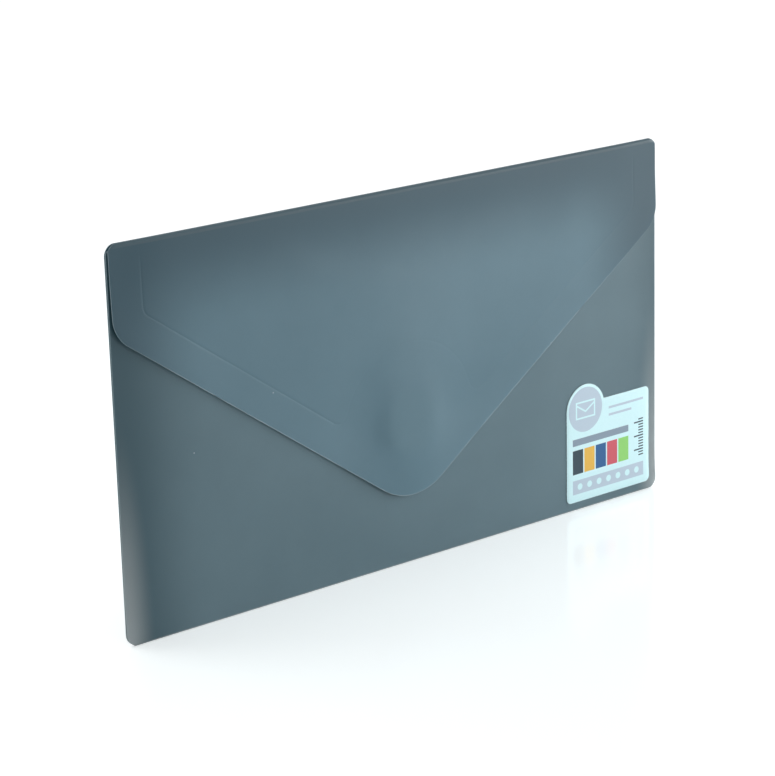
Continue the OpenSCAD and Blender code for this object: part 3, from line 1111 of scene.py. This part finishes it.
# %% Label: the sign and the scale
print_left, print_right, row_low = 2.8, 36.9, 10
lobe_u, lobe_v = label_lobe_r, label_high.z - label_low.z - label_lobe_r
sign_u, sign_v, sign_stroke, sign_slope, sign_drop = 4.6, 3.1, 0.6, 0.62, 0.7
aside = maths(tree, "ABSOLUTE", maths(tree, "SUBTRACT", u, lobe_u))
fold_v = maths(tree, "MULTIPLY_ADD", aside, sign_slope, lobe_v - sign_drop)
fold_line = maths(tree, "COMPARE", v, fold_v, 0.34)
sign_frame = without(block_round(lobe_u, lobe_v, sign_u, sign_v),
                     block_round(lobe_u, lobe_v, sign_u - sign_stroke, sign_v - sign_stroke))
sign_fold = maths(tree, "MULTIPLY", fold_line, block_round(lobe_u, lobe_v, 4.4, 3))
sign = maths(tree, "MAXIMUM", sign_frame, sign_fold)

tick_left, long_tick_left, scale_high, long_pitch = 34.5, 32.3, 24, 5.0
tick_run = maths(tree, "COMPARE", maths(tree, "FRACT", v), 0.5, 0.23)
long_run = maths(tree, "COMPARE", maths(tree, "FRACT", maths(tree, "DIVIDE", v, long_pitch)), 0.5, 0.05)
short_ticks = maths(tree, "MULTIPLY", tick_run, block(tick_left, row_low, print_right, scale_high))
long_ticks = maths(tree, "MULTIPLY", long_run, block(long_tick_left, row_low, print_right, scale_high))
ticks = maths(tree, "MAXIMUM", short_ticks, long_ticks)
print("masks made for the sign and the scale")

# %% Label: inks and print
print_white, print_pale = (0.57, 0.795, 0.835, 1), (0.44, 0.53, 0.62, 1)
print_grey, print_dark = (0.22, 0.28, 0.35, 1), (0.03, 0.05, 0.07, 1)
print_red, print_yellow = (0.55, 0.09, 0.12, 1), (0.72, 0.42, 0.07, 1)
print_blue, print_green = (0.025, 0.1, 0.26, 1), (0.26, 0.58, 0.15, 1)
paper_white, ink_share = (0.59, 0.81, 0.85, 1), 0.985
lobe_disc_r, text_left = 7.9, 20
dot_count, dot_first, dot_pitch, dot_v, dot_r = 7, 6.2, 4.55, 5.3, 1.15
chip_w, chip_pitch, chip_high = 4.9, 5.45, 18.6
prints = [(disc(lobe_u, lobe_v, lobe_disc_r), print_pale), (sign, print_white), (ticks, print_dark),
          (block(text_left, 30.4, print_right, 31.2), print_pale),
          (block(text_left, 27.8, 31, 28.6), print_pale),
          (block(print_left, 2.8, print_right, 7.8), print_pale),
          (block(print_left, 20.2, 29.5, 22.6), print_grey)]
prints += [(disc(dot_first + dot_pitch * k, dot_v, dot_r), print_white) for k in range(dot_count)]
for k, ink in enumerate((print_dark, print_yellow, print_blue, print_red, print_green)):
    chip_left = print_left + chip_pitch * k
    prints.append((block(chip_left, row_low, chip_left + chip_w, chip_high), ink))
paper = clouds_of(tree, place_mm(tree), 1.4, 4.0)
colour = mix_colours(tree, between(tree, paper, 0.3, 0.7), print_white, paper_white)
for mask, ink in prints:
    colour = mix_colours(tree, maths(tree, "MULTIPLY", mask, ink_share), colour, ink)
tree.links.new(colour, shader.inputs["Base Color"])
tree.links.new(maths(tree, "MULTIPLY_ADD", paper, 0.15, 0.3), shader.inputs["Roughness"])
roughen(tree, shader, paper, strength=0.08, depth=0.02)
print(f"the label's print has {len(prints)} plain shapes")

# %% Finish of the adhesive, and the label put in place
label_t, film_clearance = 0.1, 0.01
glue_finish, tree, shader = new_finish("glue_finish", IOR=1.47, Transmission_Weight=0.6)
strings = clouds_of(tree, place_mm(tree), 1.1, 3.0)
glue_tint = mix_colours(tree, strings, (0.66, 0.67, 0.62, 1), (0.84, 0.85, 0.81, 1))
tree.links.new(glue_tint, shader.inputs["Base Color"])
tree.links.new(maths(tree, "MULTIPLY_ADD", strings, 0.3, 0.1), shader.inputs["Roughness"])
label_film = stuck_sheet("label_film", front_y - film_t / 2, film_t - film_clearance, 0.02, glue_finish)
label_sheet = stuck_sheet("label_sheet", front_y - film_t - label_t / 2, label_t, 0.03, label_finish)
for obj, node, slot in ((label_film, "label_adhesive", "adhesive"), (label_sheet, "label", "label_paper")):
    smooth(obj)
    seat(obj, "pocket", node)
for node in ("loop_adhesive", "hook_adhesive"):
    wear(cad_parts[node], glue_finish)

# %% [markdown]
# ## Floor and light
# The envelope stands on a glossy white table in even studio light. The floor is white and a little
# polished, so it gives the faint mirror image below the fold. The world is white to the camera and to
# reflections and dimmer as a lamp. A picture of a studio could light the scene, but four plain lamps can
# be set one by one: a key lamp at the right front whose grid keeps it on the label's end, a side lamp far
# to the right that grazes the face and is the only one to show in reflections, and two large ones above
# and behind, for the edges and for the light that comes through the sheet.

# %% Floor
floor_size, floor_glow, white = 8, 0.34, (1, 1, 1, 1)


def seen_rays(tree):
    """1 for what is seen straight, in a reflection or through the sheet, and 0 for what only lights."""
    rays = add_node(tree, "ShaderNodeLightPath")
    bounced = maths(tree, "MAXIMUM", rays.outputs["Is Glossy Ray"], rays.outputs["Is Transmission Ray"])
    return maths(tree, "MAXIMUM", rays.outputs["Is Camera Ray"], bounced)


start_piece()
bpy.ops.mesh.primitive_plane_add(size=floor_size, location=(0, 0, 0))
floor = name_piece("floor")
floor_finish, tree, shader = new_finish("floor_finish", IOR=1.42, Roughness=0.15,
                                        Base_Color=(0.905, 0.965, 0.97, 1), Emission_Color=white)
tree.links.new(maths(tree, "MULTIPLY", seen_rays(tree), floor_glow), shader.inputs["Emission Strength"])
wear(floor, floor_finish)
print(f"floor of {floor_size} m")

# %% World and lamps
sky_dim = 0.55
world = bpy.data.worlds.new("studio")
bpy.context.scene.world = world
world.use_nodes = True
sky = world.node_tree
sky_light = sky.nodes["Background"]
sky_light.inputs["Color"].default_value = white
sky.links.new(maths(sky, "MULTIPLY_ADD", seen_rays(sky), 1 - sky_dim, sky_dim), sky_light.inputs["Strength"])


def soft_lamp(name, place, target, size, watts, spread=180, in_reflections=False):
    """A square soft lamp that looks at a target, with a grid that narrows its spread."""
    start_piece()
    bpy.ops.object.light_add(type="AREA", location=place)
    lamp = name_piece(name)
    lamp.data.size = size
    lamp.data.energy = watts
    lamp.data.spread = math.radians(spread)
    lamp.rotation_euler = (Vector(target) - Vector(place)).to_track_quat("-Z", "Y").to_euler()
    lamp.visible_camera = False
    lamp.visible_glossy = in_reflections
    print(f"{name} of {watts} W")


soft_lamp("key_lamp", (0.38, -0.38, 0.05), (0.06, 0, 0.025), size=0.25, watts=0.135, spread=44)
soft_lamp("side_lamp", (1.2, -0.3, 0.22), (0, 0, 0.05), size=0.35, watts=0.46, spread=36, in_reflections=True)
soft_lamp("top_lamp", (0, 0.1, 0.9), (0, 0, 0.06), size=0.8, watts=1.6)
soft_lamp("rear_lamp", (-0.6, 0.8, 0.6), (0, 0, 0.06), size=0.8, watts=2.5)

# %% [markdown]
# ## Camera
# The photograph was taken from the left front and a little above, through a long lens, so the far end is
# only a little smaller than the near one. A Track To constraint could aim the camera, but it would not
# roll it, so its three axes are worked out from yaw, pitch and roll.

# %% Camera at the photograph's angle
yaw, pitch, roll = math.radians(39.29), math.radians(-15.98), math.radians(1.63)
focal_px, frame_px, sensor_w = 2677.1, 776, 36
camera_place = Vector((-529.6, -636.2, 296.4))
look = Vector((math.sin(yaw) * math.cos(pitch), math.cos(yaw) * math.cos(pitch), math.sin(pitch)))
right = Vector((math.cos(yaw), -math.sin(yaw), 0))
up = right.cross(look)
right, up = right * math.cos(roll) - up * math.sin(roll), up * math.cos(roll) + right * math.sin(roll)
start_piece()
bpy.ops.object.camera_add(location=camera_place * MM)
camera = name_piece("camera")
camera.rotation_euler = Matrix((right, up, -look)).transposed().to_euler()
camera.data.sensor_width = sensor_w
camera.data.lens = focal_px * sensor_w / frame_px
camera.data.clip_start = 0.01
bpy.context.scene.camera = camera
bpy.context.scene.view_settings.view_transform = "Standard"
print(f"camera with a lens of {camera.data.lens:.1f} mm, {camera.location.length:.2f} m away")
